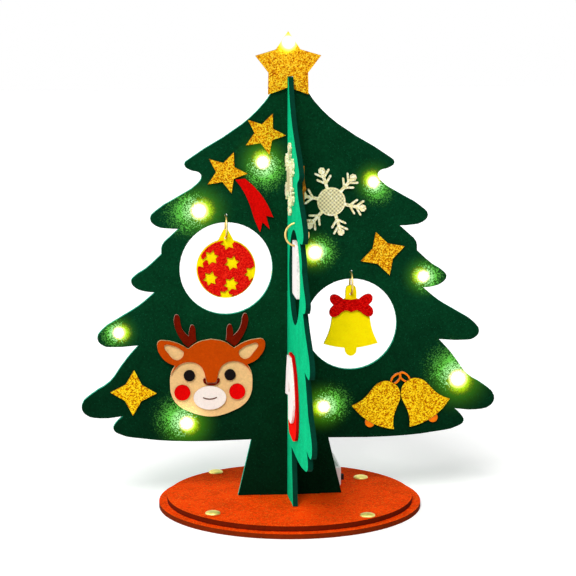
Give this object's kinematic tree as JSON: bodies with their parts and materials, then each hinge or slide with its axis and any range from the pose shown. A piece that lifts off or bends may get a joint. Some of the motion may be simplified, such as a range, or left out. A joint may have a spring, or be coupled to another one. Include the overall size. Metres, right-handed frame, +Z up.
{
  "type": "felt christmas tree",
  "caption": "Tabletop felt tree of two crossed slotted panels on a riveted round base, with stickers, ornaments hung on wire rings in round windows, and a battery light string",
  "frame": {"origin": "middle of the base's underside, on the line where the two panels cross", "axes": "+Z up; +X to the viewer's right along the main panel, which faces -Y; the cross panel runs along Y"},
  "size_m": [0.2502, 0.2502, 0.2864],
  "materials": {
    "green_felt": "needle felt",
    "base_felt": "needle felt",
    "gold_glitter": "glittered foam sheet",
    "cream_glitter": "glittered foam sheet",
    "red_felt": "felt",
    "red_glitter": "glittered felt",
    "yellow_felt": "felt",
    "white_felt": "felt",
    "orange_foam": "foam sheet",
    "cream_felt": "felt",
    "brown_felt": "felt",
    "dark_brown_felt": "felt",
    "black_foam": "matt",
    "brass": "polished",
    "gold_wire": "polished",
    "copper_wire": "lacquered",
    "light_resin": "clear resin, lit",
    "white_plastic": "satin",
    "cell_steel": "polished"
  },
  "bodies": {
    "tree": {"main_panel": "green_felt", "cross_panel": "green_felt", "base_upper_disc": "base_felt", "base_lower_disc": "base_felt", "brad_front_left": "brass", "brad_front_right": "brass", "brad_back_left": "brass", "brad_back_right": "brass", "topper_star": "gold_glitter", "star_sticker": "gold_glitter", "comet_star": "gold_glitter", "comet_tail": "red_felt", "sparkle_left": "gold_glitter", "sparkle_right": "gold_glitter", "snowflake_main": "cream_glitter", "snowflake_cross": "cream_glitter", "cross_star": "gold_glitter", "pair_bell_left": "gold_glitter", "pair_bell_right": "gold_glitter", "pair_loops": "orange_foam", "pair_clapper_left": "orange_foam", "pair_clapper_right": "orange_foam", "deer_face": "cream_felt", "deer_head": "brown_felt", "deer_antler_left": "dark_brown_felt", "deer_antler_right": "dark_brown_felt", "deer_eye_left": "black_foam", "deer_eye_right": "black_foam", "deer_cheek_left": "red_felt", "deer_cheek_right": "red_felt", "deer_muzzle": "white_felt", "deer_nose": "dark_brown_felt", "stocking_body": "red_felt", "stocking_cuff": "white_felt", "light_wire": "copper_wire", "light_01": "light_resin", "light_02": "light_resin", "light_03": "light_resin", "light_04": "light_resin", "light_05": "light_resin", "light_06": "light_resin", "light_07": "light_resin", "light_08": "light_resin", "light_09": "light_resin", "light_10": "light_resin", "battery_case": "white_plastic", "coin_cells": "cell_steel"},
    "ring_bauble": {"ring_bauble": "gold_wire"},
    "bauble": {"bauble_back": "yellow_felt", "bauble_face": "red_glitter"},
    "ring_bell": {"ring_bell": "gold_wire"},
    "bell": {"bell_body": "yellow_felt", "bell_bow": "red_glitter"},
    "ring_parcel": {"ring_parcel": "gold_wire"},
    "parcel": {"parcel_box": "white_felt", "parcel_ribbon": "red_felt"},
    "ring_pendant": {"ring_pendant": "gold_wire"},
    "pendant": {"pendant_star": "yellow_felt"},
    "switch": {"battery_switch": "black_foam"},
    "cover": {"battery_cover": "white_plastic"}
  },
  "joints": [
    {"name": "bauble_ring_swing", "type": "hinge", "parent": "tree", "child": "ring_bauble", "pos_m": [-0.03825, 0, 0.17769], "axis": [0, 1, 0], "range_deg": [-14, 14]},
    {"name": "bauble_tip", "type": "hinge", "parent": "ring_bauble", "child": "bauble", "pos_m": [-0.03825, 0, 0.17089], "axis": [1, 0, 0], "range_deg": [-30, 30]},
    {"name": "bell_ring_swing", "type": "hinge", "parent": "tree", "child": "ring_bell", "pos_m": [0.03698, 0, 0.14244], "axis": [0, 1, 0], "range_deg": [-14, 14]},
    {"name": "bell_tip", "type": "hinge", "parent": "ring_bell", "child": "bell", "pos_m": [0.03698, 0, 0.13564], "axis": [1, 0, 0], "range_deg": [-30, 30]},
    {"name": "parcel_ring_swing", "type": "hinge", "parent": "tree", "child": "ring_parcel", "pos_m": [0, -0.03825, 0.17769], "axis": [1, 0, 0], "range_deg": [-14, 14]},
    {"name": "parcel_tip", "type": "hinge", "parent": "ring_parcel", "child": "parcel", "pos_m": [0, -0.03825, 0.17089], "axis": [0, 1, 0], "range_deg": [-30, 30]},
    {"name": "pendant_ring_swing", "type": "hinge", "parent": "tree", "child": "ring_pendant", "pos_m": [0, 0.03698, 0.14244], "axis": [1, 0, 0], "range_deg": [-14, 14]},
    {"name": "pendant_tip", "type": "hinge", "parent": "ring_pendant", "child": "pendant", "pos_m": [0, 0.03698, 0.13564], "axis": [0, 1, 0], "range_deg": [-30, 30]},
    {"name": "switch_slide", "type": "slide", "parent": "tree", "child": "switch", "axis": [0, 1, 0], "range_m": [0, 0.003]},
    {"name": "cover_slide", "type": "slide", "parent": "tree", "child": "cover", "axis": [0, 1, 0], "range_m": [0, 0.036]}
  ]
}
